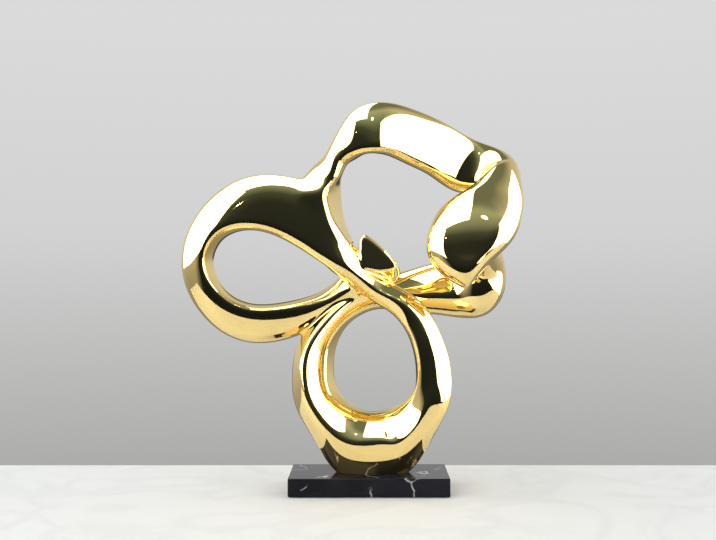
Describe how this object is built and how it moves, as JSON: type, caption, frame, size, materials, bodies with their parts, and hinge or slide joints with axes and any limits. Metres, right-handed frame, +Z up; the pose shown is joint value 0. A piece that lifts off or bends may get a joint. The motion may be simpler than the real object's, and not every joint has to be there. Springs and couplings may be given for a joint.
{
  "type": "abstract flower sculpture",
  "caption": "Abstract flower ornament: a looping mirror-gold ribbon with open petals, a forward fold and a cut end, standing on a black marble slab.",
  "frame": {"origin": "middle of the felt's underside, on the surface the sculpture stands on", "axes": "+Z up, -Y towards the viewer of the picture, +X to that viewer's right"},
  "size_m": [0.3465, 0.1172, 0.3926],
  "materials": {
    "gold_plating": "polished",
    "black_marble": "gloss",
    "felt": "matte",
    "dowel_steel": "satin",
    "fastener_steel": "satin",
    "insert_brass": "satin"
  },
  "bodies": {
    "root": {"lower_ring": "gold_plating", "left_petal": "gold_plating", "top_arch": "gold_plating", "front_fold": "gold_plating", "rear_arm": "gold_plating", "dowel_petal_foot": "dowel_steel", "dowel_petal_web": "dowel_steel", "dowel_neck": "dowel_steel", "dowel_corner": "dowel_steel", "dowel_arm_root": "dowel_steel", "dowel_arm_end": "dowel_steel", "insert_left": "insert_brass", "insert_right": "insert_brass", "washer_left": "fastener_steel", "washer_right": "fastener_steel", "bolt_left": "fastener_steel", "bolt_right": "fastener_steel", "plinth": "black_marble", "felt_pad": "felt"}
  },
  "joints": []
}
